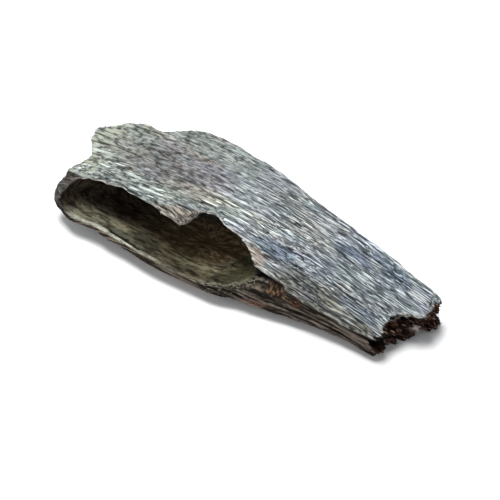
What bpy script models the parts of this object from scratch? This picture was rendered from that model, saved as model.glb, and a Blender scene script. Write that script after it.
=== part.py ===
"""One agarwood piece: a hollowed chip of dark resinous wood that lies on its pared underside.

Metres, +Z up. The grain runs along X, the hollow opens towards -Y and the ragged break is the +X end.
The origin is the middle of the footprint, on the surface that the chip lies on.
"""

import math
from collections import namedtuple

import bmesh
import bpy
from mathutils import Vector, noise

MM = 0.001  # the sizes below are in millimetres, and this turns them into metres

# The chip's section at places along the grain. Each edge is (y, z): the lip is the low near edge, the rim is
# the high near edge, and brow and heel are the top and bottom of the far side. Crown is how far the top
# arches up, and keel how far the underside bellies down between its edges.
Section = namedtuple("Section", "x lip rim brow heel crown keel")
SECTIONS = (
    Section(-36.5, (-17.6, 5.2), (-15.6, 12.2), (-4.4, 18.2), (-9.0, 9.0), 0.4, 2.0),
    Section(-30.5, (-19.0, 4.7), (-14.3, 13.9), (0.0, 18.7), (-3.0, 6.5), 0.8, 4.2),
    Section(-20.0, (-19.4, 4.0), (-12.6, 14.9), (7.3, 18.0), (4.6, 5.0), 1.8, 5.2),
    Section(-8.0, (-19.2, 3.6), (-12.0, 14.8), (10.3, 16.7), (8.0, 4.2), 2.2, 4.9),
    Section(4.0, (-18.2, 3.2), (-11.6, 14.2), (10.6, 15.8), (8.6, 3.8), 2.2, 4.4),
    Section(14.0, (-14.6, 2.8), (-11.5, 11.6), (10.1, 13.9), (8.6, 3.0), 1.9, 3.7),
    Section(25.0, (-11.4, 2.4), (-10.0, 9.7), (9.8, 12.0), (8.6, 2.2), 1.5, 2.9),
    Section(36.0, (-9.9, 2.0), (-9.1, 8.1), (9.3, 10.0), (8.5, 1.5), 1.1, 2.2),
    Section(45.0, (-9.2, 1.6), (-8.8, 7.0), (8.6, 8.2), (8.3, 1.0), 0.8, 1.3),
)
CORNER_ROUNDING = 0.06  # 0 keeps the section's corners sharp, 1 makes the section an oval

# How far the left end is eaten back at places across the chip, and how far along the grain that reaches
LEFT_END = ((-18.0, 0.0), (-15.0, 0.4), (-12.4, 2.0), (-10.0, 3.4), (-7.4, 1.2), (-4.4, 0.8), (0.0, 0.8))
LEFT_END_REACH = 9.0
BREAK_SKEW = 0.24  # how much farther along the grain the broken end reaches, for each mm across
BREAK_SKEW_START = 0.2  # where the skew sets in, from -1 at the left end to 1 at the break

# The step where a corner of the far side has split away: a slow run in from the left and a short way back out
STEP_X, STEP_DEPTH = -21.8, 2.8
STEP_RUN_IN, STEP_RUN_OUT = 4.2, 1.5

# The ledge left where wood has split off the lower far side: its middle and half length, how far it runs out,
# its depth, and the share of the side's height where it starts and over which it steps in
LEDGE_X, LEDGE_HALF, LEDGE_RUN_OUT, LEDGE_DEPTH = 2.0, 26.0, 6.0, 1.6
LEDGE_LEVEL, LEDGE_STEP = 0.5, 0.12

# The near side beyond the hollow is torn back under its rim: the middle and half length of that place, the
# share of the side's height where it is deepest, and its depth
TEAR_X, TEAR_HALF, TEAR_LEVEL, TEAR_DEPTH = 17.0, 8.0, 0.7, 1.1

# The blank's grid: along the grain, across it and through the thickness
COUNT_ALONG, COUNT_ACROSS, COUNT_THROUGH = 42, 34, 7

# The hollow: its two ends on X, how far back it reaches and how high its middle lies at places along the
# grain, and its half height. Its mouth is higher than its back by HOLLOW_RISE for each mm.
HOLLOW_ENDS = (-35.2, 12.6)
HOLLOW_BACK = ((-35.2, -13.0), (-29.0, -7.5), (-20.0, -1.0), (-8.0, 1.5), (4.0, 0.5), (12.6, -4.0))
HOLLOW_MIDDLE = ((-35.2, 8.0), (-20.0, 8.2), (-6.0, 8.2), (4.0, 8.9), (12.6, 10.6))
HOLLOW_MOUTH = -25.0
HOLLOW_HALF_HEIGHT, HOLLOW_RISE = 4.9, 0.13
HOLLOW_BLUNTNESS = 2.9  # 2 is an ellipse, and more is boxier
HOLLOW_RINGS, HOLLOW_SIDES = 26, 30

# The bite out of the rim beside the flake: an egg that cuts the top wall back
BITE_CENTRE, BITE_HALF = (1.9, -13.6, 12.6), (10.3, 6.5, 5.0)

# The torn flake that still hangs from the rim
FLAKE_CENTRE, FLAKE_SIZE, FLAKE_DROOP = (-9.8, -11.6, 13.7), (9.4, 4.6, 1.5), 20.0

# Relief in the wood, each with its height, length along the grain and width across it: broad swells, furrows,
# and the sideways wander of the grain itself
SWELL, SWELL_LENGTH, SWELL_WIDTH = 0.55, 24.0, 9.0
FURROW, FURROW_LENGTH, FURROW_WIDTH = 0.5, 15.0, 1.7
FURROW_LEVEL = 0.4  # how far down the flanks of the ridges the untouched surface lies
GRAIN_WANDER, GRAIN_WANDER_LENGTH, GRAIN_WANDER_WIDTH = 1.3, 30.0, 14.0

# The ragged break: how far back it reaches, then the height and width of its bundles of fibre and its hollows
BREAK_REACH = 3.5
BUNDLE, BUNDLE_WIDTH = 0.9, 2.3
BREAK_HOLLOW, BREAK_HOLLOW_WIDTH, BREAK_HOLLOW_HEIGHT = 1.95, 3.1, 2.2

FOOT_FLATNESS = 0.12  # points lower than this belong to the pared foot and stay flat
MERGE_DISTANCE = 0.12  # cut edges shorter than this are closed up


def eased(t):
    """0 to 1 with no corner at either end."""
    t = min(max(t, 0.0), 1.0)
    return t * t * (3 - 2 * t)


def curve_value(points, x):
    """The height at x of a smooth curve through points, each (x, height)."""
    last = len(points) - 1
    i = min(max(sum(x > point[0] for point in points) - 1, 0), last - 1)
    before, low, high, after = (points[min(max(j, 0), last)] for j in (i - 1, i, i + 1, i + 2))
    span = high[0] - low[0]
    t = (x - low[0]) / span
    slope_low = (high[1] - before[1]) / (high[0] - before[0]) * span
    slope_high = (after[1] - low[1]) / (after[0] - low[0]) * span
    return (
        (2 * t**3 - 3 * t**2 + 1) * low[1]
        + (t**3 - 2 * t**2 + t) * slope_low
        + (3 * t**2 - 2 * t**3) * high[1]
        + (t**3 - t**2) * slope_high
    )


def section_value(x, read):
    """A smooth curve through one value of the sections, at x."""
    return curve_value([(s.x, read(s)) for s in SECTIONS], x)


def edge_point(x, name):
    """(y, z) of one of the section's edges at x."""
    return tuple(section_value(x, lambda s, axis=axis: getattr(s, name)[axis]) for axis in (0, 1))


def rounded_corners(across, up):
    """A point of the -1 to 1 square, with the square's corners drawn in."""
    pull = CORNER_ROUNDING / 2
    return across * math.sqrt(1 - pull * up * up), up * math.sqrt(1 - pull * across * across)


def blank_point(along, across, up):
    """Where a point of the unit block lies in the chip. Each input runs from -1 to 1."""
    x = SECTIONS[0].x + (along + 1) / 2 * (SECTIONS[-1].x - SECTIONS[0].x)
    across, up = rounded_corners(across, up)
    v, w = (across + 1) / 2, (up + 1) / 2
    lip, rim, brow, heel = (edge_point(x, name) for name in ("lip", "rim", "brow", "heel"))
    step = STEP_DEPTH * math.exp(-(((x - STEP_X) / (STEP_RUN_IN if x < STEP_X else STEP_RUN_OUT)) ** 2))
    ledge = LEDGE_DEPTH * eased((LEDGE_HALF - abs(x - LEDGE_X)) / LEDGE_RUN_OUT)
    ledge *= eased((LEDGE_LEVEL - w) / LEDGE_STEP + 0.5)
    y, z = (
        (1 - w) * ((1 - v) * lip[k] + v * heel[k]) + w * ((1 - v) * rim[k] + v * brow[k]) for k in (0, 1)
    )
    tear = TEAR_DEPTH * eased(1 - abs(x - TEAR_X) / TEAR_HALF) * eased(1 - 3 * abs(w - TEAR_LEVEL))
    y += tear * (1 - v) - (step + ledge) * v
    arch = 4 * v * (1 - v)
    z += arch * (w * section_value(x, lambda s: s.crown) - (1 - w) * section_value(x, lambda s: s.keel))
    eaten_back = curve_value(LEFT_END, min(max(y, LEFT_END[0][0]), LEFT_END[-1][0]))
    x += eaten_back * eased(1 - (x - SECTIONS[0].x) / LEFT_END_REACH)
    x += BREAK_SKEW * y * eased((along - BREAK_SKEW_START) / (1 - BREAK_SKEW_START))
    return Vector((x, y, max(z, 0.0)))


def made(name, mesh_maker, collection):
    """A new object whose mesh is built by mesh_maker, in metres."""
    bm = bmesh.new()
    mesh_maker(bm)
    for vertex in bm.verts:
        vertex.co *= MM
    bmesh.ops.recalc_face_normals(bm, faces=bm.faces)
    if bm.calc_volume(signed=True) < 0:
        bmesh.ops.reverse_faces(bm, faces=bm.faces)
    mesh = bpy.data.meshes.new(name)
    bm.to_mesh(mesh)
    bm.free()
    obj = bpy.data.objects.new(name, mesh)
    collection.objects.link(obj)
    return obj


def shape_blank(bm):
    """The chip before it is hollowed: a cube cut into a fine grid, then bent to the sections."""
    bmesh.ops.create_cube(bm, size=2)
    for axis, count in enumerate((COUNT_ALONG, COUNT_ACROSS, COUNT_THROUGH)):
        lengthwise = [
            e for e in bm.edges if abs(e.verts[0].co[axis] - e.verts[1].co[axis]) > 1.9
        ]
        bmesh.ops.subdivide_edges(bm, edges=lengthwise, cuts=count - 1, use_grid_fill=True)
    for vertex in bm.verts:
        vertex.co = blank_point(*vertex.co)


def blunt(t, power):
    """How wide a blunt oval is at t of its half length, from 1 in the middle to 0 at the tip."""
    return max(0.0, 1 - abs(t) ** power) ** (1 / power)


def shape_hollow(bm):
    """The cavity: a ball drawn out along the grain into a blunt pod that stands out through the near side."""
    bmesh.ops.create_uvsphere(bm, u_segments=HOLLOW_SIDES, v_segments=HOLLOW_RINGS, radius=1)
    low, high = HOLLOW_ENDS
    for vertex in bm.verts:
        along, turn = vertex.co.z, math.atan2(vertex.co.y, vertex.co.x)
        x = (low + high) / 2 + along * (high - low) / 2
        back = curve_value(HOLLOW_BACK, x)
        middle, half = (back + HOLLOW_MOUTH) / 2, (back - HOLLOW_MOUTH) / 2
        width = blunt(along, HOLLOW_BLUNTNESS)
        cosine, sine = math.cos(turn), math.sin(turn)
        reach = (abs(cosine) ** HOLLOW_BLUNTNESS + abs(sine) ** HOLLOW_BLUNTNESS) ** (-1 / HOLLOW_BLUNTNESS)
        y = half * reach * cosine * width
        z = HOLLOW_HALF_HEIGHT * reach * sine * width
        vertex.co = (x, middle + y, curve_value(HOLLOW_MIDDLE, x) + z - HOLLOW_RISE * (middle + y + 12))


def shape_bite(bm):
    """The egg that is bitten out of the rim."""
    bmesh.ops.create_uvsphere(bm, u_segments=20, v_segments=12, radius=1)
    for vertex in bm.verts:
        vertex.co = [c + h * p for c, h, p in zip(BITE_CENTRE, BITE_HALF, vertex.co)]


def shape_flake(bm):
    """A thin block that narrows towards its drooping free edge."""
    bmesh.ops.create_cube(bm, size=1)
    bmesh.ops.subdivide_edges(bm, edges=bm.edges, cuts=5, use_grid_fill=True)
    droop = math.radians(FLAKE_DROOP)
    for vertex in bm.verts:
        outward = 0.5 - vertex.co.y
        x = vertex.co.x * FLAKE_SIZE[0] * (1 - 0.45 * outward**2)
        y = vertex.co.y * FLAKE_SIZE[1]
        z = vertex.co.z * FLAKE_SIZE[2] * (1 - 0.5 * outward)
        y, z = y * math.cos(droop) - z * math.sin(droop), y * math.sin(droop) + z * math.cos(droop)
        vertex.co = [c + p for c, p in zip(FLAKE_CENTRE, (x, y, z))]


def combine(target, operation, *tools):
    """Cuts each tool from the target, or joins it on."""
    for tool in tools:
        modifier = target.modifiers.new(tool.name, "BOOLEAN")
        modifier.operation = operation
        modifier.object = tool
        tool.hide_render = True
        tool.display_type = "WIRE"


def grain_place(place):
    """A place in millimetres, with the wander of the grain taken out across it."""
    wander = noise.noise(Vector((place.x / GRAIN_WANDER_LENGTH, place.y / GRAIN_WANDER_WIDTH, 5.2)))
    return Vector((place.x, place.y + GRAIN_WANDER * wander, place.z))


def relief(place):
    """How far the wood stands out at a place, in mm: swells, and rounded ridges between sharp furrows."""
    grain = grain_place(place)
    swell = noise.noise(Vector((grain.x / SWELL_LENGTH, grain.y / SWELL_WIDTH, grain.z / SWELL_WIDTH)))
    ridge = 1 - 2 * abs(
        noise.noise(Vector((grain.x / FURROW_LENGTH, grain.y / FURROW_WIDTH, grain.z / FURROW_WIDTH + 7.7)))
    )
    return SWELL * swell - FURROW * (ridge**3 - FURROW_LEVEL)


def break_offset(place, end_x):
    """How far a point of the broken end is pushed along the grain, for fibres that stand at many lengths."""
    core = noise.voronoi(Vector((0.0, place.y / BUNDLE_WIDTH, place.z / BUNDLE_WIDTH)))[1][0]
    bundle = noise.cell(core * 9)
    hollow = noise.noise(Vector((1.7, place.y / BREAK_HOLLOW_WIDTH, place.z / BREAK_HOLLOW_HEIGHT)))
    return (BUNDLE * bundle + BREAK_HOLLOW * hollow) * eased((place.x - end_x + BREAK_REACH) / BREAK_REACH)


def settled(mesh):
    """A copy with its points and faces in one fixed order, which the Boolean cuts don't give them."""
    points = sorted(set(tuple(vertex.co) for vertex in mesh.vertices))
    number = {point: i for i, point in enumerate(points)}
    faces = []
    for polygon in mesh.polygons:
        loop = [number[tuple(mesh.vertices[i].co)] for i in polygon.vertices]
        first = loop.index(min(loop))
        faces.append(loop[first:] + loop[:first])
    copy = bpy.data.meshes.new("agarwood_piece")
    copy.from_pydata(points, [], sorted(faces))
    return copy


def carve_relief(mesh):
    """Moves each point of the finished shape by the relief, and keeps the foot flat."""
    bm = bmesh.new()
    bm.from_mesh(mesh)
    bmesh.ops.remove_doubles(bm, verts=bm.verts, dist=MERGE_DISTANCE * MM)
    bmesh.ops.dissolve_degenerate(bm, edges=bm.edges, dist=MERGE_DISTANCE / 2 * MM)
    bmesh.ops.triangulate(bm, faces=bm.faces)
    bm.normal_update()
    moved = []
    for vertex in bm.verts:
        place = vertex.co / MM
        if place.z < FOOT_FLATNESS:
            place.z = 0.0
        else:
            end_x = SECTIONS[-1].x + BREAK_SKEW * place.y
            place = place + vertex.normal * relief(place) + Vector((break_offset(place, end_x), 0, 0))
            place.z = max(place.z, 0.0)
        moved.append(place * MM)
    for vertex, place in zip(bm.verts, moved):
        vertex.co = place
    low = Vector([min(v.co[k] for v in bm.verts) for k in range(3)])
    high = Vector([max(v.co[k] for v in bm.verts) for k in range(3)])
    middle = (low + high) / 2
    bmesh.ops.translate(bm, verts=bm.verts, vec=(-middle.x, -middle.y, 0))
    bm.to_mesh(mesh)
    bm.free()


def wood_material():
    material = bpy.data.materials.new("agarwood")
    material.use_nodes = True
    shader = material.node_tree.nodes["Principled BSDF"]
    shader.inputs["Base Color"].default_value = (0.23, 0.22, 0.2, 1)
    shader.inputs["Roughness"].default_value = 0.72
    shader.inputs["Metallic"].default_value = 0.0
    return material


def build():
    for obj in list(bpy.data.objects):
        bpy.data.objects.remove(obj)
    scene = bpy.context.scene
    chip, tools = (bpy.data.collections.new(name) for name in ("agarwood", "cutters"))
    for collection in (chip, tools):
        scene.collection.children.link(collection)
    blank = made("blank", shape_blank, tools)
    hollow = made("hollow", shape_hollow, tools)
    bite = made("bite", shape_bite, tools)
    flake = made("flake", shape_flake, tools)
    combine(blank, "DIFFERENCE", hollow, bite)
    combine(blank, "UNION", flake)
    blank.hide_render = True
    bpy.context.view_layer.update()
    graph = bpy.context.evaluated_depsgraph_get()
    mesh = settled(blank.evaluated_get(graph).data)
    carve_relief(mesh)
    mesh.materials.append(wood_material())
    mesh.shade_smooth()
    mesh.set_sharp_from_angle(angle=math.radians(50))
    piece = bpy.data.objects.new("agarwood_piece", mesh)
    chip.objects.link(piece)


build()
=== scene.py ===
import math

import bpy
import numpy as np
from mathutils import Matrix, Vector, noise


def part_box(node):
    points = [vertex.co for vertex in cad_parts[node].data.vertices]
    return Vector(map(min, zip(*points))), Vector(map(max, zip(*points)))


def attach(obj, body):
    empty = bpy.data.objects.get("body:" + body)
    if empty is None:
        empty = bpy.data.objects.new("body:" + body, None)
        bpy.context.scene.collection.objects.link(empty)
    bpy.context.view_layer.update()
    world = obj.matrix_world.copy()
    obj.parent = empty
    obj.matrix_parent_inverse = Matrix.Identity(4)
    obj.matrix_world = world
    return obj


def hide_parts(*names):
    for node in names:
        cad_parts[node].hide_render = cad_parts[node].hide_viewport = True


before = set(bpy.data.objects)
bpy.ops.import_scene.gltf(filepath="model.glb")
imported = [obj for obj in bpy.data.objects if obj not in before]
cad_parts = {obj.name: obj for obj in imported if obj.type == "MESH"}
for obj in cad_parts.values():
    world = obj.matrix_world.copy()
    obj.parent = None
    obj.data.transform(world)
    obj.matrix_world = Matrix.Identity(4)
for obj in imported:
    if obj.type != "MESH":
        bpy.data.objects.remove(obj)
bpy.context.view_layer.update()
bpy.ops.object.select_all(action="DESELECT")


# The camera looks down on the chip's near side at the photograph's angle, through a long lens that
# keeps the grain lines nearly parallel. It is aimed at the middle of the chip.
MM = 0.001
VIEW_AZIMUTH = math.radians(37)
VIEW_ELEVATION = math.radians(52)
LENS = 320
CAMERA_DISTANCE = 0.96
AIM = Vector((0.5, -0.6, 7.0)) * MM

back = Vector((
    math.sin(VIEW_AZIMUTH) * math.cos(VIEW_ELEVATION),
    -math.cos(VIEW_AZIMUTH) * math.cos(VIEW_ELEVATION),
    math.sin(VIEW_ELEVATION),
))
camera_turn = back.to_track_quat("Z", "Y").to_euler()
bpy.ops.object.camera_add(location=AIM + back * CAMERA_DISTANCE, rotation=camera_turn)
camera = bpy.context.object
camera.name = "camera"
camera.data.lens = LENS
camera.data.clip_start = 0.01
bpy.context.scene.camera = camera


# The floor is one wide sheet of pale studio paper. A broad soft light hangs over the chip, a weak one
# fills from the camera's left, and the pale room gives the rest.
PAPER = (0.88, 0.88, 0.875, 1)
ROOM_LIGHT = (0.93, 0.96, 1.0, 1)
ROOM_STRENGTH = 0.38

bpy.ops.mesh.primitive_plane_add(size=6)
floor = bpy.context.object
floor.name = "studio_floor"
paper = bpy.data.materials.new("studio_paper")
paper.use_nodes = True
paper_shader = paper.node_tree.nodes["Principled BSDF"]
paper_shader.inputs["Base Color"].default_value = PAPER
paper_shader.inputs["Roughness"].default_value = 0.9
floor.data.materials.append(paper)


def softbox(name, place, size, power):
    """A square area light at a place in metres, turned towards the chip."""
    place = Vector(place)
    light_turn = place.to_track_quat("Z", "Y").to_euler()
    bpy.ops.object.light_add(type="AREA", location=place, rotation=light_turn)
    light = bpy.context.object
    light.name = name
    light.data.size = size
    light.data.energy = power


softbox("overhead_softbox", place=(-0.22, 0.1, 0.8), size=0.4, power=9.9)
softbox("fill_softbox", place=(-0.5, -0.6, 0.45), size=0.5, power=1.5)

room = bpy.data.worlds.new("pale_room")
bpy.context.scene.world = room
room.use_nodes = True
background = room.node_tree.nodes["Background"]
background.inputs["Color"].default_value = ROOM_LIGHT
background.inputs["Strength"].default_value = ROOM_STRENGTH
bpy.context.scene.view_settings.view_transform = "Standard"


# The chip is one piece of weathered, resin-soaked wood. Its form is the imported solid's, remeshed finely
# while it is squeezed along the grain, so its cells come out long and narrow, as the fibres are. No
# operator cuts such furrows, ribs and torn fibre, so the relief is worked out in code.
GRAIN_STRETCH = 4.0
CELL = 0.18 * MM

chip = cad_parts["agarwood_piece"].copy()
chip.data = chip.data.copy()
chip.name = "resinous_wood"
chip.parent = None
bpy.context.scene.collection.objects.link(chip)
chip.data.materials.clear()
bpy.context.view_layer.objects.active = chip
chip.select_set(True)
bpy.ops.object.mode_set(mode="EDIT")
bpy.ops.mesh.select_all(action="SELECT")
bpy.ops.mesh.remove_doubles(threshold=0.01 * MM)
bpy.ops.object.mode_set(mode="OBJECT")

chip.data.transform(Matrix.Diagonal((1 / GRAIN_STRETCH, 1, 1, 1)))
remesh = chip.modifiers.new("fine_cells", "REMESH")
remesh.mode = "VOXEL"
remesh.voxel_size = CELL
bpy.ops.object.modifier_apply(modifier=remesh.name)
facets = chip.modifiers.new("facets_smoothed", "SMOOTH")
facets.factor = 0.5
facets.iterations = 8
bpy.ops.object.modifier_apply(modifier=facets.name)
chip.data.transform(Matrix.Diagonal((GRAIN_STRETCH, 1, 1, 1)))


def places_and_normals(mesh):
    """The mesh's points in millimetres and their normals, as two arrays."""
    count = len(mesh.vertices)
    places = np.empty(count * 3, np.float32)
    normals = np.empty(count * 3, np.float32)
    mesh.vertices.foreach_get("co", places)
    mesh.vertices.foreach_get("normal", normals)
    return places.reshape(-1, 3).astype(float) / MM, normals.reshape(-1, 3).astype(float)


def eased(values, start, end):
    """0 up to start, 1 from end on, and no corner between."""
    t = np.clip((values - start) / (end - start), 0, 1)
    return t * t * (3 - 2 * t)


def faded(values, start, end):
    """1 up to start, 0 from end on, and no corner between."""
    return eased(-values, -end, -start)


def read_off(profile, along):
    """The height of a profile, given as (place, height) pairs, at each place along it."""
    return np.interp(along, *np.array(profile).T)


def blurred(mesh, values, passes):
    """The values, one or a row for each point, after so many rounds of averaging with their neighbours."""
    pairs = np.empty(len(mesh.edges) * 2, np.int32)
    mesh.edges.foreach_get("vertices", pairs)
    one, other = pairs.reshape(-1, 2).T
    count = len(values)
    links = np.bincount(one, minlength=count) + np.bincount(other, minlength=count)
    columns = values.reshape(count, -1).T.copy()
    for column in columns:
        for _ in range(passes):
            around = np.bincount(one, column[other], count) + np.bincount(other, column[one], count)
            column[:] = (column + around / links) / 2
    return columns.T.reshape(values.shape)


# x, y and z are the columns of places, so they follow each push of the points
places, normals = places_and_normals(chip.data)
x, y, z = places.T
low, high = (np.array(corner[:]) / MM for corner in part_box("agarwood_piece"))

# The hollow's walls are the ones that face the line along its middle. hollow_edge is 1 where the hollow
# begins, and 0 away from there.
HOLLOW_LINE = ((-39, -11, 8.6), (-33, -7, 8.4), (-24, -3.5, 7.6), (-6, -3, 7.6), (3, -6, 8.8))
line_x, line_y, line_z = np.array(HOLLOW_LINE, float).T
nearest_x = np.clip(x, line_x[0], line_x[-1])
nearest_y = np.interp(nearest_x, line_x, line_y)
nearest_z = np.interp(nearest_x, line_x, line_z)
towards = np.stack([nearest_x, nearest_y, nearest_z], axis=1) - places
reach = np.linalg.norm(towards, axis=1)
faces_middle = np.sum(normals * towards, axis=1) / reach
past_hollow = faded(x, -38.5, -37.5) * eased(y, -7.5, -6.5)
hollow = eased(faces_middle, 0.0, 0.2) * faded(reach, 12, 15) * (1 - past_hollow)
half_hollow = blurred(chip.data, hollow, 6)
hollow_edge = 4 * half_hollow * (1 - half_hollow)

# The break is where the wood faces along the grain at the far end, under the top crust's edge. It lies
# aslant, so it is reached further along the chip on the far side.
BREAK_X, BREAK_Y = 40.0, 4.3
BREAK_SLANT = 0.24
break_line = BREAK_X + BREAK_SLANT * (y - BREAK_Y)
past_break = x - break_line
broken = eased(normals[:, 0], 0.2, 0.6) * eased(past_break, -7, -4)

# The other large parts: the foot it rests on, the right part of the upper face, the two long sides, the
# left end, and the flake, which hangs in front of the upper rim
FLAKE_TOP = ((-20, -7.9), (-17.4, -7.0), (-15.4, -5.7), (-10.8, -4.7))
FLAKE_MIDDLE = -15
LEFT_END_WAY = (-0.8, 0.6, 0)
foot = faded(z, 0.15, 0.35)
right_part = eased(x, -24, 12)
near_side = eased(-normals[:, 1], 0.4, 0.75) * (1 - hollow)
near_side *= np.maximum(eased(x, 2, 6), faded(z, 4, 5.5))
far_side = eased(normals[:, 1], 0.5, 0.8)
left_end = eased(normals @ LEFT_END_WAY, 0.4, 0.7) * faded(x, -28, -18) * (1 - hollow)
past_top = read_off(FLAKE_TOP, x) - y
flake = (1 - hollow) * eased(past_top, -0.1, 0.5) * faded(np.abs(x - FLAKE_MIDDLE), 4, 5.5)
flake *= eased(z, 11.5, 12.5)


def noise_at(places, length, width, seed):
    """Noise at each place, stretched along the grain: length is its grain on X, and width that across."""
    scaled = places / (length, width, width) + (seed, 1.7 * seed, 2.3 * seed)
    return np.array([noise.noise(Vector(row)) for row in scaled])


def line_distance(places, start, end):
    """How far each point is from the straight line between two points."""
    start, end = np.array(start), np.array(end)
    run = end - start
    along = np.clip((places - start) @ run / (run @ run), 0, 1)
    return np.linalg.norm(places - start - along[:, None] * run, axis=1)


def route_distance(places, *routes):
    """How far each point is from the nearest of some routes, each made of straight stretches."""
    stretches = [ends for route in routes for ends in zip(route, route[1:])]
    return np.min([line_distance(places, *ends) for ends in stretches], axis=0)


# On the near side, right of the hollow: a beaded crest over a cavity painted dark as shade, a tan stretch
# of the upper edge beside them, a patch where brown fibres are torn short, and a knot
CREST = ((6.9, -6.4, 12.2), (9.8, -6.1, 11.8), (12.8, -5.8, 10.9))
CAVITY = ((6.9, -7.1, 10.9), (9.8, -6.7, 10.4), (12.4, -6.4, 9.9))
TAN_RIM = ((3, -4.3, 13.8), (6.5, -5.4, 13))
TORN_PATCH = (12.0, -6.6, 8.0)
KNOT = (16.8, -6.1, 7.2)
crest = faded(route_distance(places, CREST), 0.08, 0.28)
cavity = faded(route_distance(places, CAVITY), 0.8, 1.5)
tan_rim = faded(route_distance(places, TAN_RIM), 0.6, 1.9)
from_torn = np.linalg.norm((places - TORN_PATCH) / (1.4, 1, 1), axis=1)
torn = faded(from_torn + noise_at(places, 1.5, 1.5, seed=26), 1.0, 2.2) * (1 - hollow)
from_knot = np.linalg.norm(places - KNOT, axis=1)
knot = faded(from_knot, 1.2, 2.0)

# The near lip's edge, and the line on the hollow's floor behind which painted shade darkens the wood
LIP = (
    (-39, -13.5, 5.6), (-33, -14.4, 5.0), (-18, -14.1, 4.6),
    (-6, -13.2, 4.6), (0, -11.5, 5.5), (6, -8, 8.5),
)
SHADE_LINE = (
    (-38, -11.1), (-33, -9.8), (-24, -8.6), (-13.5, -8.3),
    (-8.5, -7.7), (-4.9, -6.3), (-2.8, -2.8), (0, -1),
)
lip = faded(route_distance(places, LIP), 0.6, 1.3)
lip_x, _, lip_z = np.array(LIP).T
under_lip = np.interp(x, lip_x, lip_z) + 0.8 - z
near_side = np.maximum(near_side, eased(under_lip, 0, 0.8) * faded(y, -8, -6) * (1 - hollow))
behind_line = y - read_off(SHADE_LINE, x)
# Painted shade: the hollow's wood darkens behind that line, and under the roof at its left end
deep_shade = hollow * eased(behind_line + 1.2 * noise_at(places, 7, 2, seed=22), -1.0, 1.6)
deep_shade = np.maximum(deep_shade, hollow * faded(x, -36.5, -33.5) * eased(z, 5.2, 6.2))

# More places in and under the hollow: its outer rim at the right end, two pale patches and a shaded spot
# on its floor, a strip of the bottom edge, and the left end's corner
OUTER_RIM = ((-3, -12.6, 4.7), (3, -10.5, 6.0), (6, -7.5, 8.5))
PALE_FLOORS = (((-36, -12, 5.5), (-27, -10.5, 4.2)), ((-11.5, -9, 4), (-4, -8, 4.5)))
SHADOW_SPOT = ((-24, -11, 4.3), (-18, -10.2, 4.0))
BOTTOM_STRIP = ((6.0, -10.3, 3.1), (10.0, -9.1, 3.7))
outer_rim = faded(route_distance(places, OUTER_RIM), 1.0, 2.4) * (1 - hollow)
pale_floor = faded(route_distance(places, *PALE_FLOORS), 0.5, 2.2)
shadow_spot = 0.42 * hollow * faded(route_distance(places, SHADOW_SPOT), 0.3, 1.6)
bottom_strip = faded(route_distance(places, BOTTOM_STRIP), 0.4, 1.3)
corner = faded(x, -38, -33) * eased(z, 10, 13)

# On the upper face: a broad violet stain in the middle, a felted patch where the flecks are short, four
# dark blue stains that run along the grain, and a stretch of pale and one of bold streaks
STAIN = ((-24, 1, 18), (-14, 3, 18))
FELTED = ((10, 0, 13), (19, -2.8, 10.8))
DARK_STAINS = (
    ((6, -1.7, 14), (10, -1, 13.4)),
    ((27, -0.7, 9.3), (32, -1, 8.6)),
    ((27, 11.4, 11), (33, 10.3, 9.8)),
    ((19, 7.8, 12.8), (24, 9.2, 11.8)),
)
STAIN_STRETCH = (2, 1, 1)
PALE_STREAK = ((-20, -3.3, 16.9), (-2, 0.4, 16.6), (4, 0.2, 15.4))
BOLD_STREAKS = ((-8, -1.5, 16.5), (6, 1.5, 15))
stain = faded(route_distance(places, STAIN), 3, 8)
felted = faded(route_distance(places, FELTED), 1.5, 4.5)
from_stain = route_distance(places / STAIN_STRETCH, *np.array(DARK_STAINS) / STAIN_STRETCH)
dark_stain = faded(from_stain - 0.8 * noise_at(places, 4, 1.5, seed=53), 0.6, 2.2)
pale_streak = faded(route_distance(places, PALE_STREAK), 1.0, 3.5)
bold_streaks = faded(route_distance(places, BOLD_STREAKS), 2.0, 4.5)

# The upper rim and the flake that hangs from it have worn back unevenly, with a nick beside the flake. The
# left end's shell and the near lip's left end bulge.
UPPER_RIM = ((-39, -11.3, 11.0), (-30, -9.2, 13.2), (-13, -9.0, 12.9))
RIM_WAY = (0.16, 1.0, 0.32)
RIM_WEAR = 1.05
LIP_END = ((-40, -12.4, 6.2), (-35, -13.7, 5.2), (-31, -14.2, 4.8))
LIP_BULGE = (0.3, 1.5, 0.6)
NICK = (-8.3, -4.8, 15.0)
NICK_DEPTH = 1.5
worn = faded(route_distance(places, UPPER_RIM), 0.5, 4.5)
ragged = RIM_WEAR + 0.5 * noise_at(places, 1.8, 3, seed=24) * faded(np.abs(x + 32), 5, 9)
places += (worn * ragged)[:, None] * RIM_WAY
places[:, 0] -= faded(x, -42, -38) * eased(z, 1, 6) * faded(z, 8, 11)
lip_end = faded(route_distance(places, LIP_END), 1.5, 5.0) * faded(x, -38.5, -30.5) * eased(z, 0.5, 3)
places -= lip_end[:, None] * LIP_BULGE
places[:, 1] += NICK_DEPTH * faded(np.linalg.norm(places - NICK, axis=1), 1.2, 5.5)


def paint(mesh, name, values):
    """Stores a number or a place for each point of a mesh, for its finish to read."""
    values = np.asarray(values, np.float32)
    attribute = mesh.attributes.new(name, "FLOAT" if values.ndim == 1 else "FLOAT_VECTOR", "POINT")
    attribute.data.foreach_set("value" if values.ndim == 1 else "vector", values.ravel())


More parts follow.
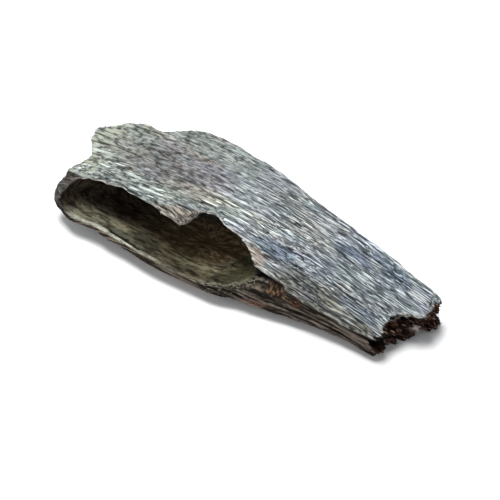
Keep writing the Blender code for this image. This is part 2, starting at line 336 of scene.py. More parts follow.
# The grain follows the chip: it runs along its middle line, and lies level with its upper face, whose
# height is a smooth sheet fitted to it. Down the sides the lines are counted off around the chip, so
# they run long there too.
HALF_LENGTH = 40
HALF_WIDTH = 12
WANDER = 0.7
middle = np.polynomial.Polynomial.fit(x, y, 2)(x)
along = np.clip(x / HALF_LENGTH, -0.97, 0.97)
aside = np.clip((y - middle) / HALF_WIDTH, -1, 1)
upper = (normals[:, 2] > 0.5) & (hollow < 0.1) & (z > 6) & (past_break < -0.5)
terms = np.stack([along ** i * aside ** j for i in range(6) for j in range(4)], axis=1)
known = terms[upper]
fitted = np.linalg.solve(known.T @ known + np.eye(terms.shape[1]), known.T @ places[upper, 2])
upper_height = terms @ fitted
under_top = upper_height - z
well_under = eased(under_top, 2.5, 4.5) * eased(middle - y, 3, 6)
near_side = np.maximum(near_side, well_under * (1 - hollow))

# Along the near side, from the cavity to the break, the upper face's grey turns down over the edge, by so
# many millimetres at each place along the chip. Below that edge the side's dark brown begins, with a painted
# shadow just under the edge.
FRINGE = ((10, 0), (17, 0.5), (23, 1.0), (28, 1.5), (33, 1.0), (37, 0.2))
fringe = read_off(FRINGE, x) + 0.4 * noise_at(places, 1.5, 1.5, seed=49) - under_top
over_edge = eased(fringe, -0.3, 0.0)
edge_shade = over_edge * faded(fringe, 0.6, 2.6) * eased(x, 9, 14)
fringe_line = near_side * over_edge * faded(fringe, 0.4, 1.0) * eased(x, 10, 14)
near_side *= 1 - eased(fringe, -0.25, 0.25) * eased(x, 8, 12)

wander = noise_at(places, 50, 20, seed=4) * WANDER
grain = np.stack([x, y - middle + wander, z - upper_height - wander], axis=1)
paint(chip.data, "grain", grain)
round_side = 0.87 * grain[:, 2] - 0.5 * np.abs(grain[:, 1])
paint(chip.data, "side_grain", np.stack([grain[:, 0], 0.15 * grain[:, 1], round_side], axis=1))


# The wood's grain is made of furrows, ribs and spindles of soft tissue that all run along it. The same
# nodes cut them into the mesh here and colour them in the finish, so that a pale fleck is pale on its own
# low ridge.
def add_node(tree, kind, inputs=(), **settings):
    """Adds a node. Each input is (name or number, a value or another node's output)."""
    made = tree.nodes.new(kind)
    for name, value in settings.items():
        setattr(made, name, value)
    for key, value in inputs:
        if isinstance(value, bpy.types.NodeSocket):
            tree.links.new(value, made.inputs[key])
        else:
            made.inputs[key].default_value = value
    return made


def sums(tree, operation, first, second=0.0):
    """The result of one sum on two numbers."""
    return add_node(tree, "ShaderNodeMath", [(0, first), (1, second)], operation=operation).outputs["Value"]


def between(tree, value, low, high, to_low=0.0, to_high=1.0):
    """Spreads the values from low to high out to 0 and 1, or to other ends, with no corner."""
    return add_node(tree, "ShaderNodeMapRange", [
        (0, value), (1, low), (2, high), (3, to_low), (4, to_high),
    ], interpolation_type="SMOOTHSTEP").outputs["Result"]


def shrunk(tree, place, length, width, seed):
    """The place with length by width millimetres as its unit, moved to its own part of the pattern."""
    return add_node(tree, "ShaderNodeVectorMath", [
        (0, place), (1, (1 / length, 1 / width, 1 / width)), (2, (seed, 1.7 * seed, 2.3 * seed)),
    ], operation="MULTIPLY_ADD").outputs["Vector"]


def grain_noise(tree, place, length, width, seed, detail=1.0):
    """Noise from 0 to 1 whose grain is length by width millimetres."""
    return add_node(tree, "ShaderNodeTexNoise", [
        ("Vector", shrunk(tree, place, length, width, seed)), ("Scale", 1.0), ("Detail", detail),
    ]).outputs["Fac"]


def flecks(tree, place, length, width, seed, start, end):
    """1 inside flecks that lie along the grain, and 0 outside them."""
    return between(tree, grain_noise(tree, place, length, width, seed, detail=1.5), start, end)


def thin_lines(tree, place, length, width, seed, half_width):
    """1 along thin lines that follow the grain, and 0 between them."""
    level = sums(tree, "SUBTRACT", grain_noise(tree, place, length, width, seed), 0.5)
    return between(tree, sums(tree, "ABSOLUTE", level), 0.0, half_width, 1.0, 0.0)


def grain_fields(tree, place, side_place):
    """The parts of the grain that are both cut and coloured."""
    return {
        "rib": grain_noise(tree, place, 11, 0.44, seed=3, detail=2),
        "furrow": thin_lines(tree, place, 20, 1.2, seed=1, half_width=0.03),
        "side_rib": grain_noise(tree, side_place, 20, 0.6, seed=31, detail=2),
        "long_fleck": flecks(tree, place, 4.0, 0.29, seed=5, start=0.54, end=0.6),
        "short_fleck": flecks(tree, place, 1.6, 0.6, seed=7, start=0.53, end=0.64),
    }


def stored_place(tree, name):
    """A place that was painted on the mesh under a name, as the carving's nodes read it."""
    return add_node(tree, "GeometryNodeInputNamedAttribute", [
        ("Name", name),
    ], data_type="FLOAT_VECTOR").outputs["Attribute"]


def painted_values(mesh, name):
    """The numbers that are stored on the mesh under a name, one for each point."""
    values = np.empty(len(mesh.vertices), np.float32)
    mesh.attributes[name].data.foreach_get("value", values)
    return values.astype(float)


carving = bpy.data.node_groups.new("carving", "GeometryNodeTree")
carving.interface.new_socket("Geometry", in_out="INPUT", socket_type="NodeSocketGeometry")
carving.interface.new_socket("Geometry", in_out="OUTPUT", socket_type="NodeSocketGeometry")
grain_place = stored_place(carving, "grain")
side_place = stored_place(carving, "side_grain")
carved = add_node(carving, "NodeGroupInput").outputs[0]
for name, field in grain_fields(carving, grain_place, side_place).items():
    carved = add_node(carving, "GeometryNodeStoreNamedAttribute", [
        ("Geometry", carved), ("Name", name), ("Value", field),
    ], data_type="FLOAT", domain="POINT").outputs["Geometry"]
add_node(carving, "NodeGroupOutput", [(0, carved)])
grain_modifier = chip.modifiers.new("grain", "NODES")
grain_modifier.node_group = carving
bpy.ops.object.modifier_apply(modifier=grain_modifier.name)
rib, side_rib, furrow, long_fleck, short_fleck = (
    painted_values(chip.data, name) for name in ("rib", "side_rib", "furrow", "long_fleck", "short_fleck")
)

# Heights and depths in millimetres. The relief is coarser to the right and on the long sides, and low in
# the hollow.
RIB_HEIGHT = 0.75
SIDE_RIB_HEIGHT = 1.1
FURROW_DEPTH = 0.12
LONG_FLECK_HEIGHT = 0.07
SHORT_FLECK_HEIGHT = 0.06
DENT_DEPTH = 0.2
KNOT_RINGS = 7        # radians of ring for each millimetre from the knot's middle
dent = noise_at(grain, 5, 3, seed=6)
torn_fibre = noise_at(places * (1, 1, 0.25), 0.5, 0.5, seed=12)
ring = np.sin(from_knot * KNOT_RINGS)
coarse = 0.35 + 0.65 * np.maximum(right_part, far_side)
lengthwise = RIB_HEIGHT * (rib - 0.5) - FURROW_DEPTH * furrow + LONG_FLECK_HEIGHT * long_fleck
relief = coarse * lengthwise + DENT_DEPTH * dent
relief += (1 - right_part) * SHORT_FLECK_HEIGHT * (short_fleck - 0.5)
relief += near_side * (SIDE_RIB_HEIGHT * (side_rib - 0.5) - 0.8 * relief)
relief *= 1 - 0.75 * hollow
relief += torn * (0.25 * torn_fibre - 0.1) + 0.15 * knot * ring

# Gouge marks fan out over the hollow's right end from one place in its back wall
FAN_CENTRE = np.array([-9.0, -3.0, 5.0])
FAN_AXIS = np.array([0.37, -0.49, 0.79])
FLUTE_TURNS = 22        # radians of wave for each radian of the fan
FLUTE_WANDER = 9
FLUTE_DEPTH = 0.07
across_fan = np.cross(FAN_AXIS, (0, 0, 1.0))
across_fan /= np.linalg.norm(across_fan)
up_fan = np.cross(across_fan, FAN_AXIS)
fan_place = places - FAN_CENTRE
fan_angle = np.arctan2(fan_place @ up_fan, fan_place @ across_fan)
flute = np.sin(fan_angle * FLUTE_TURNS + FLUTE_WANDER * noise_at(places, 9, 5, seed=14))
fluted = hollow * eased(x, -12, -5)
relief += FLUTE_DEPTH * flute * fluted

# A slit runs along the inside of the near lip, and the flake has parted along its top
SLIT = ((-28.0, -13.2, 4.7), (-20.5, -13.2, 4.4))
PARTING = ((-15.2, -5.5, 15.8), (-10.8, -4.6, 15.7))
CAVITY_DEPTH = 1.5
SLIT_DEPTH = 0.6
PARTING_DEPTH = 0.3
slit = faded(route_distance(places, SLIT), 0.1, 0.45)
parting = faded(route_distance(places, PARTING), 0.1, 0.35)
relief -= CAVITY_DEPTH * cavity + SLIT_DEPTH * slit + PARTING_DEPTH * parting

relief *= 1 - foot
places += normals * relief[:, None]

# Fibres have parted at many lengths in the break, so each place across it is drawn back its own way: the top
# crust juts out in teeth, a row of pits runs under it, bundles of fibre stand out lower down, and the near
# corner has a socket. The depths are in millimetres.
CRUST_EDGE = (
    (-3.5, -2.2), (-1.3, -1.0), (2.3, -1.9), (4.2, -1.2),
    (6.2, 2.0), (9.9, 1.3), (12, 0.8), (14, -0.4),
)
PALE_LUMP = (40.2, 6.5, 2.9)
SOCKET = (37.1, -2.0, 5.0)
SOCKET_DEPTH = 2.0
SHALLOW_PIT, DEEP_PIT = 0.6, 3.0
SHORT_BUNDLE, LONG_BUNDLE = 1.7, 0.3
across = places * (0, 1, 1)
crust = eased(-under_top, -1.1, -0.6)
pit_row = eased(under_top, 0.7, 1.1) * faded(under_top, 2.0, 3.0)
pit = eased(noise_at(across, 1, 1.1, seed=8), -0.25, 0.2)
bundle = eased(noise_at(across, 1, 1.3, seed=16), -0.25, 0.3)
socket = faded(np.linalg.norm((places - SOCKET) / (1.5, 1, 1), axis=1), 1.3, 2.3)
shred = noise_at(across, 1, 0.5, seed=9)
far_corner = eased(y, 8, 11)
lump = faded(np.linalg.norm((places - PALE_LUMP) / (2, 1, 1), axis=1), 0.7, 1.6)
draw_back = pit_row * (SHALLOW_PIT + (DEEP_PIT - SHALLOW_PIT) * pit)
draw_back += (1 - pit_row) * (LONG_BUNDLE + (SHORT_BUNDLE - LONG_BUNDLE) * bundle)
draw_back = np.maximum(draw_back + 0.5 * shred, 0) * (1 - 0.8 * lump) + SOCKET_DEPTH * socket
tip = eased(y, 11, 13.5) * eased(z, 3, 5)
draw_back = draw_back * (1 - 0.85 * far_corner) - 0.9 * far_corner + 2.6 * tip
crust_reach = read_off(CRUST_EDGE, y) + 0.5 * noise_at(across, 1, 0.8, seed=18)
draw_back -= crust * (crust_reach + draw_back)
places[:, 0] -= draw_back * eased(past_break, -6, -1)

# The left end is chipped into small teeth, and nothing reaches under the floor
tooth = noise_at(across, 1, 1.4, seed=10) + 0.4
places[:, 0] += (0.1 + 0.15 * eased(z, 11, 14)) * tooth * faded(x, low[0], low[0] + 4)
places[:, 2] = np.maximum(z, 0)

chip.data.vertices.foreach_set("co", (places * MM).astype(np.float32).ravel())
chip.data.update()
places, normals = places_and_normals(chip.data)
x, y, z = places.T

# The bite in the upper rim, beside the flake, has a wall painted dark as shade, and the wood under that rim
# has painted shade too. A pale line runs along the rim itself. Thin edges stand out of the wood round them,
# and creases lie below it and get painted shade.
BITE_MIDDLE = -8
by_bite = faded(np.abs(x - BITE_MIDDLE), 4.5, 6) * eased(z, 11.5, 12.5) * (1 - flake)
by_bite *= faded(y, 0, 2)
bite_wall = by_bite * faded(normals[:, 2], 0.3, 0.6)
under_rim_shade = 0.7 * hollow * eased(z, 9.5, 12.5) * eased(x, -16, -10)
under_rim_shade = np.maximum(under_rim_shade, 0.95 * by_bite * faded(normals[:, 2], 0.3, 0.5))
rim_line = eased(hollow_edge, 0.02, 0.3) * (1 - hollow) * eased(z, 9, 11) * (1 - bite_wall)
floor_part = eased(normals[:, 2], -0.1, 0.5)
stands_out = np.sum((places - blurred(chip.data, places, 24)) * normals, axis=1)

# What the finish has to know of each point is painted on the mesh, as numbers from 0 to 1
for name, values in {
    "right_part": right_part,
    "near_side": near_side,
    "far_side": far_side,
    "left_end": left_end,
    "left_lip": faded(x, -40.5, -37.5) * faded(z, 12, 13.5),
    "upper_left": eased(z, 8.5, 10.5),
    "flake": flake,
    "edge": eased(stands_out, 0.1, 0.35),
    # painted shade in creases
    "crease_shade": eased(-stands_out, 0.04, 0.3),
    # painted shade in the cavity, the slit and the parting
    "gap_shade": np.maximum(eased(cavity, 0.1, 0.7), np.maximum(slit, 0.8 * parting)),

    "by_rim": np.maximum((1 - right_part) * faded(y, -6, -1), bold_streaks),
    "plain_part": (1 - right_part) * eased(y, -6, 0),
    "corner": corner,
    "stain": stain,
    "dark_stain": dark_stain,
    "felted": felted * (1 - near_side),
    "pale_streak": pale_streak,
    "edge_shade": edge_shade * (1 - hollow) * faded(y, -3, 0) * faded(x, 33, 37),
    "fringe": fringe_line,
    # painted shadow just under the near edge
    "shade_under_edge": near_side * eased(fringe, -1.3, -0.5) * eased(x, 10, 14),
    "rim_line": rim_line * (1 - flake) * faded(x, 4, 7),

    "crest": crest,
    "tan_rim": tan_rim,
    "torn": torn,
    "knot": knot,
    "knot_ring": 0.5 + 0.5 * ring,
    "outer_rim": outer_rim,
    "bottom_strip": bottom_strip,

    "hollow": hollow,
    "hollow_floor": hollow * floor_part,
    "pale_floor": hollow * floor_part * pale_floor,
    "rim": eased(hollow_edge, 0.3, 0.85),
    "rim_pale": faded(x, -12, 2) * eased(z, 7, 9) * eased(x, -41, -36) * (1 - bite_wall),
    "lip": lip * (0.2 + 0.8 * faded(np.abs(x + 27), 6, 13)),
    # painted shade deeper in the hollow
    "deep_shade": deep_shade,
    "right_wall": eased(x, -29, -14),
    "end_wall": hollow * eased(x, -1.5, 1.5) * faded(z, 8, 12),
    "in_shade": np.maximum(under_rim_shade, shadow_spot),
    "flute": 0.5 + 0.5 * flute,

    "broken": broken,
    "crust": crust * eased(past_break, -2.5, -0.8) * eased(y, 1, 2.5) * faded(y, 4, 8),
    "lump": lump * broken,
    # painted shade in the break's deeply drawn-back pits
    "drawn_back_shade": eased(draw_back, 0.5, 1.9),
}.items():
    paint(chip.data, name, values)
chip.data.shade_smooth()

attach(chip, "root")
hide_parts("agarwood_piece")


# The wood's finish: dark resin with pale flecks of soft tissue along the grain, dry and matt. The upper face
# is greyed by weather, the hollow and the torn sides are browner, and thin edges are rubbed pale. Shade is
# painted into the hollow, under its upper rim, and into the break's pits, gaps, creases and furrows.
wood = bpy.data.materials.new("resinous_wood")
wood.use_nodes = True
tree = wood.node_tree
shader = tree.nodes["Principled BSDF"]
shader.inputs["Specular IOR Level"].default_value = 0.07


def mixed(amount, under, over, blend="MIX"):
    """Colour under with colour over laid on it by amount."""
    return add_node(tree, "ShaderNodeMix", [
        (0, amount), (6, under), (7, over),
    ], data_type="RGBA", blend_type=blend).outputs[2]


def product(*factors):
    """All the factors multiplied together."""
    result = factors[0]
    for factor in factors[1:]:
        result = sums(tree, "MULTIPLY", result, factor)
    return result


def painted(name, share=1.0):
    """What was painted on the mesh under a name, or a share of it."""
    fac = add_node(tree, "ShaderNodeAttribute", attribute_name=name).outputs["Fac"]
    return fac if share == 1.0 else product(fac, share)


def ranged(value, at_none, at_full=1.0):
    """A value from 0 to 1 brought to the range between two others."""
    return between(tree, value, 0.0, 1.0, at_none, at_full)


def streaked(dark, mid, pale, ground, fleck, pale_strength):
    """Dark to mid-tone ground under pale flecks."""
    return mixed(product(fleck, pale_strength), mixed(ground, dark, mid), pale)


def turned(place, axis, degrees):
    """The place turned about one of its axes, so that a pattern lies across the grain."""
    return add_node(tree, "ShaderNodeVectorRotate", [
        ("Vector", place), ("Angle", math.radians(degrees)),
    ], rotation_type=axis).outputs["Vector"]


# Grain that several parts share
place = add_node(tree, "ShaderNodeAttribute", attribute_name="grain").outputs["Vector"]
side_place = add_node(tree, "ShaderNodeAttribute", attribute_name="side_grain").outputs["Vector"]
fields = grain_fields(tree, place, side_place)
small_fleck = flecks(tree, place, 2.6, 0.22, seed=11, start=0.55, end=0.63)
dark_dash = flecks(tree, place, 4.0, 0.28, seed=29, start=0.54, end=0.61)
fibre = between(tree, grain_noise(tree, place, 9, 0.15, seed=9, detail=2), 0.32, 0.68)
patch = grain_noise(tree, place, 15, 5, seed=13, detail=2)
stripe = between(tree, fields["rib"], 0.36, 0.62)

# The upper face: mottled olive grey with short flecks at the left, striped blue grey with long ones at the
# right, under weathered tints, stains and a rubbed edge
GREY_DARK, GREY_MID, GREY_PALE = (0.026, 0.03, 0.038, 1), (0.235, 0.255, 0.27, 1), (0.85, 0.87, 0.86, 1)
OLIVE_DARK, OLIVE_MID, OLIVE_PALE = (0.062, 0.064, 0.058, 1), (0.228, 0.236, 0.22, 1), (0.7, 0.7, 0.645, 1)
BLUISH, WARM, TEAL = (0.95, 0.99, 1.06, 1), (1.04, 1.02, 0.95, 1), (0.95, 1.02, 1.01, 1)
CLOUD = (0.74, 0.76, 0.78, 1)
STAIN_VIOLET, FELTED_VIOLET = (0.87, 0.82, 0.87, 1), (0.68, 0.67, 0.74, 1)
STAIN_BLUE = (0.62, 0.68, 0.78, 1)
STREAK_LIGHT = (1.2, 1.19, 1.12, 1)
CORNER_GREEN = (0.43, 0.46, 0.35, 1)

patchy = between(tree, patch, 0.35, 0.6, 0.65, 1.0)
long_flecks = sums(tree, "MAXIMUM", fields["long_fleck"], product(small_fleck, 0.75))
long_flecks = product(long_flecks, patchy, ranged(fibre, 0.55))
felt_flecks = flecks(tree, place, 1.2, 0.4, seed=47, start=0.52, end=0.62)
long_flecks = sums(tree, "MAXIMUM", long_flecks, product(painted("felted"), felt_flecks, 0.8))
short_flecks = product(sums(tree, "MAXIMUM", fields["short_fleck"], small_fleck), patchy)

grooved = sums(tree, "ADD", product(stripe, 0.4), product(fibre, 0.6))
mottle = between(tree, grain_noise(tree, place, 1.5, 0.8, seed=23, detail=4), 0.36, 0.62)
short_flecks = product(short_flecks, ranged(painted("plain_part"), 1.0, 0.6))
left_colour = streaked(OLIVE_DARK, OLIVE_MID, OLIVE_PALE, mottle, short_flecks, 0.62)
rim_streak = flecks(tree, place, 9, 0.5, seed=37, start=0.6, end=0.65)
right_colour = streaked(GREY_DARK, GREY_MID, GREY_PALE, grooved, long_flecks, 1.0)
right_colour = mixed(product(dark_dash, 0.75), right_colour, GREY_DARK)
top_colour = mixed(painted("right_part"), left_colour, right_colour)
top_colour = mixed(product(rim_streak, painted("by_rim"), 0.85), top_colour, GREY_PALE)
tint = between(tree, grain_noise(tree, place, 14, 4, seed=15), 0.35, 0.65)
cloud = between(tree, grain_noise(tree, place, 22, 6, seed=39, detail=2), 0.35, 0.65)
teal_tint = between(tree, grain_noise(tree, place, 9, 3.5, seed=55), 0.5, 0.6)
top_colour = mixed(1.0, top_colour, mixed(teal_tint, mixed(tint, BLUISH, WARM), TEAL), "MULTIPLY")
top_colour = mixed(product(cloud, 0.45), top_colour, CLOUD, "MULTIPLY")
grit = between(tree, grain_noise(tree, place, 1.0, 0.26, seed=45, detail=2), 0.4, 0.62)
top_colour = mixed(product(grit, 0.5), top_colour, CLOUD, "MULTIPLY")
top_colour = mixed(painted("stain"), top_colour, STAIN_VIOLET, "MULTIPLY")
top_colour = mixed(painted("dark_stain"), top_colour, STAIN_BLUE, "MULTIPLY")
top_colour = mixed(painted("felted", 0.8), top_colour, FELTED_VIOLET, "MULTIPLY")
top_colour = mixed(painted("pale_streak"), top_colour, STREAK_LIGHT, "MULTIPLY")
top_colour = mixed(product(painted("corner"), mottle, 0.6), top_colour, CORNER_GREEN)
top_colour = mixed(painted("edge", 0.35), top_colour, GREY_PALE)

# The long sides: nearly black resin with long pale lines and a few dashes
BROWN_DARK, BROWN_MID, BROWN_PALE = (0.007, 0.0045, 0.003, 1), (0.032, 0.023, 0.016, 1), (0.3, 0.25, 0.2, 1)

side_stripe = between(tree, fields["side_rib"], 0.4, 0.64)
side_line = flecks(tree, side_place, 24, 0.5, seed=25, start=0.54, end=0.58)
side_dash = flecks(tree, side_place, 5, 0.3, seed=33, start=0.56, end=0.62)
side_line = product(side_line, ranged(fibre, 0.35))
side_flecks = sums(tree, "MAXIMUM", product(side_line, 0.9), product(side_dash, 0.45))
side_colour = streaked(BROWN_DARK, BROWN_MID, BROWN_PALE, side_stripe, side_flecks, 0.8)
resin_streak = flecks(tree, side_place, 30, 1.6, seed=35, start=0.48, end=0.6)

# The hollow: a mottled olive floor, greyer at the left, and walls painted dark as shade, with paler gouge
# marks at the right
FLOOR_DARK, FLOOR_MID, FLOOR_PALE = (0.02, 0.017, 0.01, 1), (0.09, 0.078, 0.047, 1), (0.25, 0.235, 0.15, 1)
FLOOR_GREY = (0.078, 0.082, 0.064, 1)
FLUTE_DARK, FLUTE_PALE = (0.07, 0.05, 0.025, 1), (0.2, 0.15, 0.085, 1)
DEEP_SHADE_DARK, DEEP_SHADE_BROWN = (0.013, 0.009, 0.006, 1), (0.05, 0.037, 0.025, 1)

floor_mottle = between(tree, grain_noise(tree, place, 2.8, 1.2, seed=27, detail=4), 0.4, 0.58)
floor_streak = between(tree, grain_noise(tree, place, 5, 1.1, seed=41, detail=4), 0.45, 0.58)
floor_pale = product(floor_streak, between(tree, patch, 0.42, 0.62))
floor_mid = mixed(painted("right_wall"), FLOOR_GREY, FLOOR_MID)
floor_colour = streaked(FLOOR_DARK, floor_mid, FLOOR_PALE, floor_mottle, floor_pale, 0.6)
flute_colour = mixed(product(painted("flute"), floor_mottle), FLUTE_DARK, FLUTE_PALE)
wall_shade_and_gouge_colour = mixed(floor_mottle, DEEP_SHADE_DARK, DEEP_SHADE_BROWN)
wall_shade_and_gouge_colour = mixed(painted("right_wall"), wall_shade_and_gouge_colour, flute_colour)

# The break: red-brown fibre with holes between its bundles, painted black as shade. The holes read Object
# coordinates, so their sizes are in metres.
BREAK_DARK, BREAK_PALE = (0.038, 0.013, 0.006, 1), (0.26, 0.125, 0.07, 1)
# Near black, for painted shade in holes, pits, gaps and the wood in shade
SHADE_BLACK = (0.003, 0.002, 0.002, 1)

break_colour = mixed(product(small_fleck, fibre), BREAK_DARK, BREAK_PALE)
broken_place = add_node(tree, "ShaderNodeTexCoord").outputs["Object"]
shaded_hole = flecks(tree, broken_place, 1.2 * MM, 0.45 * MM, seed=57, start=0.5, end=0.58)
break_colour = mixed(product(shaded_hole, 0.85), break_colour, SHADE_BLACK)

# Wood whose fibres lie across the grain: hatched on the flake, and upright where it is torn. The left end's
# shell is smooth and dark, with rusty specks.
FLAKE_DARK, FLAKE_PALE = (0.05, 0.037, 0.028, 1), (0.4, 0.36, 0.3, 1)
TORN_DARK, TORN_PALE = (0.024, 0.014, 0.009, 1), (0.19, 0.115, 0.068, 1)
SHELL, RUST = (0.016, 0.009, 0.005, 1), (0.11, 0.06, 0.04, 1)

hatch = flecks(tree, turned(place, "Z_AXIS", 18), 3.0, 0.35, seed=19, start=0.38, end=0.62)
olive_dash = flecks(tree, turned(place, "Y_AXIS", 30), 1.8, 0.38, seed=43, start=0.52, end=0.62)
upright = flecks(tree, turned(place, "Y_AXIS", 90), 2.6, 0.6, seed=17, start=0.42, end=0.62)
torn_colour = mixed(upright, TORN_DARK, TORN_PALE)
flake_colour = mixed(hatch, FLAKE_DARK, FLAKE_PALE)
rust_speck = flecks(tree, place, 0.9, 0.6, seed=21, start=0.52, end=0.6)
shell_colour = mixed(product(rust_speck, 0.9, painted("upper_left")), SHELL, RUST)

# All of these are laid over one another, first the faces and then the places on them
EDGE_OLIVE, OLIVE_FLECK = (0.45, 0.43, 0.37, 1), (0.21, 0.205, 0.15, 1)
STRIP_PINK, TAN = (0.24, 0.15, 0.11, 1), (0.36, 0.27, 0.2, 1)
RIM_CREAM, EDGE_CREAM = (0.66, 0.61, 0.57, 1), (0.56, 0.54, 0.46, 1)

top_colour = mixed(painted("edge_shade"), top_colour, EDGE_OLIVE, "MULTIPLY")
colour = mixed(painted("near_side"), top_colour, side_colour)
# Painted shadow just under the near edge
colour = mixed(painted("shade_under_edge", 0.65), colour, BROWN_DARK)
colour = mixed(product(painted("fringe"), mottle, 0.45), colour, OLIVE_PALE)
colour = mixed(painted("far_side", 0.5), colour, side_colour)
colour = mixed(product(painted("far_side"), resin_streak, 0.7), colour, BROWN_DARK)
colour = mixed(painted("outer_rim", 0.8), colour, mixed(olive_dash, BROWN_DARK, OLIVE_FLECK))
colour = mixed(product(painted("bottom_strip"), fibre, 0.8), colour, STRIP_PINK)
colour = mixed(product(painted("rim_line"), ranged(mottle, 0.4, 0.95)), colour, RIM_CREAM)
colour = mixed(painted("flake", 0.85), colour, flake_colour)
colour = mixed(painted("torn"), colour, torn_colour)
knot_share = painted("knot", 0.85)
colour = mixed(knot_share, colour, mixed(product(painted("knot_ring"), fibre), BROWN_DARK, BREAK_PALE))
crest_bead = between(tree, grain_noise(tree, place, 0.9, 0.9, seed=51), 0.4, 0.6, 0.3, 1.0)
colour = mixed(product(painted("crest"), crest_bead), colour, EDGE_CREAM)
colour = mixed(product(painted("tan_rim"), mottle, 0.65), colour, TAN)
end_colour = mixed(product(short_flecks, fibre), shell_colour, OLIVE_FLECK)
colour = mixed(painted("left_end", 0.7), colour, end_colour)
colour = mixed(painted("left_lip", 0.85), colour, shell_colour)

# Then the hollow, from its walls and floor to the lip and the rubbed rim round it. Its walls and the far
# part of its floor get painted shade, and so do the wood under the upper rim and a spot on the floor.
END_OLIVE, LIP_PALE = (0.05, 0.05, 0.026, 1), (0.43, 0.435, 0.36, 1)
FLOOR_GRIT, RIM_PINK = (0.42, 0.38, 0.33, 1), (0.6, 0.56, 0.5, 1)

# The hollow's walls get painted shade, or the gouge marks' brown at the right
colour = mixed(painted("hollow"), colour, wall_shade_and_gouge_colour)
colour = mixed(painted("hollow_floor"), colour, floor_colour)
colour = mixed(product(painted("pale_floor"), ranged(floor_mottle, 0.15, 0.5)), colour, FLOOR_PALE)
colour = mixed(painted("deep_shade"), colour, wall_shade_and_gouge_colour)
colour = mixed(painted("end_wall", 0.75), colour, END_OLIVE)
colour = mixed(painted("in_shade"), colour, SHADE_BLACK)
lip_worn = product(painted("lip"), painted("hollow"), ranged(floor_mottle, 0.5))
colour = mixed(lip_worn, colour, LIP_PALE)
floor_grit = flecks(tree, place, 0.9, 0.45, seed=59, start=0.42, end=0.6)
colour = mixed(product(painted("hollow"), floor_grit, 0.55), colour, FLOOR_GRIT, "MULTIPLY")
rim_worn = product(painted("rim"), ranged(mottle, 0.1, 0.8), painted("rim_pale"))
colour = mixed(rim_worn, colour, RIM_PINK)

# Last the broken end under its pale crust, and painted shade in its drawn-back pits and in furrows, creases
# and gaps everywhere
CRUST, LUMP = (0.66, 0.66, 0.6, 1), (0.5, 0.46, 0.43, 1)
FURROW_SHADE, CREASE_SHADE = (0.04, 0.04, 0.045, 1), (0.1, 0.1, 0.1, 1)

colour = mixed(painted("broken"), colour, break_colour)
crust_colour = mixed(product(shaded_hole, 0.8), CRUST, SHADE_BLACK)
colour = mixed(product(painted("crust"), ranged(mottle, 0.35)), colour, crust_colour)
# Painted shade in the break's deep pits
colour = mixed(product(painted("broken"), painted("drawn_back_shade")), colour, SHADE_BLACK)
colour = mixed(painted("lump", 0.8), colour, LUMP)
# Painted shade in the furrows
colour = mixed(product(fields["furrow"], 0.75), colour, FURROW_SHADE, "MULTIPLY")
# Painted shade in the creases
colour = mixed(painted("crease_shade", 0.6), colour, CREASE_SHADE, "MULTIPLY")
# Painted shade in the cavity, the slit and the parting
colour = mixed(painted("gap_shade"), colour, SHADE_BLACK)
tree.links.new(colour, shader.inputs["Base Color"])
tree.links.new(ranged(long_flecks, 0.6, 0.88), shader.inputs["Roughness"])

height = sums(tree, "ADD", product(long_flecks, 0.4), product(fibre, 0.6))
bump = add_node(tree, "ShaderNodeBump", [("Height", height), ("Strength", 0.7), ("Distance", 0.08 * MM)])
tree.links.new(bump.outputs["Normal"], shader.inputs["Normal"])
chip.data.materials.append(wood)


# Loose splinters stand out of the broken end, the flake and the chipped left end. Each is a thin
# tapered length of the same wood, rooted just under the surface. One is modelled, then copied into one mesh.
SPLINTER_SEED = 7
ROOT_DEPTH = 0.4
LEFT_TIP = low[0]
SPLINTERS = (    # where, how many, which way, how far they spread, their lengths and their thicknesses
    (broken * (1 - crust), 90, (1, 0, 0), 0.25, (0.3, 1.1), (0.08, 0.2)),
    (broken * crust, 18, (1, 0, 0), 0.12, (0.3, 0.6), (0.08, 0.14)),
    (flake * eased(stands_out, 0.1, 0.3), 20, (0.5, -0.75, -0.45), 0.2, (0.2, 0.5), (0.05, 0.09)),
    (faded(x, LEFT_TIP + 0.4, LEFT_TIP + 1.2), 25, (-1, 0, 0), 0.3, (0.2, 0.5), (0.05, 0.1)),
)

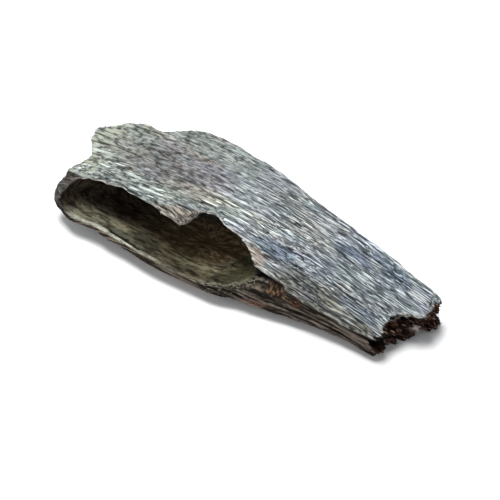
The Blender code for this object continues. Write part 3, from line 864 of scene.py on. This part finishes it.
bpy.ops.object.select_all(action="DESELECT")
bpy.ops.mesh.primitive_cone_add(vertices=5, radius1=1, radius2=0.15, depth=1, location=(0, 0, 0.5))
pattern = bpy.context.object
bpy.ops.object.transform_apply(location=True)
bpy.ops.object.mode_set(mode="EDIT")
for cut_height in (0.35, 0.7):
    bpy.ops.mesh.select_all(action="SELECT")
    bpy.ops.mesh.bisect(plane_co=(0, 0, cut_height), plane_no=(0, 0, 1))
bpy.ops.object.mode_set(mode="OBJECT")
pattern_points = np.array([vertex.co[:] for vertex in pattern.data.vertices])
pattern_faces = [tuple(face.vertices) for face in pattern.data.polygons]
bpy.data.objects.remove(pattern)

chance = np.random.default_rng(SPLINTER_SEED)
one_way, other_way, up = pattern_points.T[:, :, None]
splinter_points, splinter_faces, splinter_tips, splinter_tones = [], [], [], []
for weights, count, way, spread, lengths, widths in SPLINTERS:
    for root in chance.choice(len(places), count, p=weights / weights.sum()):
        direction = np.array(way) + chance.normal(0, spread, 3) + 0.25 * normals[root]
        direction /= np.linalg.norm(direction)
        sideways = np.cross(direction, (0, 0.3, 1))
        sideways /= np.linalg.norm(sideways)
        third = np.cross(direction, sideways)
        length, width = chance.uniform(*lengths), chance.uniform(*widths)
        bend = chance.normal(0, 0.12) * length
        points = places[root] - ROOT_DEPTH * direction + up * (length + ROOT_DEPTH) * direction
        points = points + (one_way * width + bend * up * up) * sideways + other_way * width * third
        splinter_faces += [tuple(corner + len(splinter_tips) for corner in face) for face in pattern_faces]
        splinter_points += list(points)
        splinter_tips += list(up[:, 0])
        splinter_tones += [chance.uniform()] * len(pattern_points)

splinter_mesh = bpy.data.meshes.new("loose_splinters")
room_for_splinters = (1.2, 0.3, 0.3)
inside = np.clip(splinter_points, (low - room_for_splinters) * (1, 1, 0), high + room_for_splinters)
splinter_mesh.from_pydata([tuple(point) for point in inside * MM], [], splinter_faces)
splinters = bpy.data.objects.new("loose_splinters", splinter_mesh)
bpy.context.scene.collection.objects.link(splinters)
paint(splinter_mesh, "tip", splinter_tips)
paint(splinter_mesh, "tone", splinter_tones)
splinter_mesh.shade_smooth()

# The colour helpers add to the splinters' own material from here on
splinter_wood = bpy.data.materials.new("splinter_wood")
splinter_wood.use_nodes = True
tree = splinter_wood.node_tree
splinter_shader = tree.nodes["Principled BSDF"]
tone = mixed(painted("tone"), BREAK_DARK, BROWN_PALE)
tip_colour = mixed(product(painted("tip"), painted("tone"), 0.6), tone, EDGE_CREAM)
tree.links.new(tip_colour, splinter_shader.inputs["Base Color"])
splinter_shader.inputs["Roughness"].default_value = 0.8
splinter_mesh.materials.append(splinter_wood)
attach(splinters, "root")
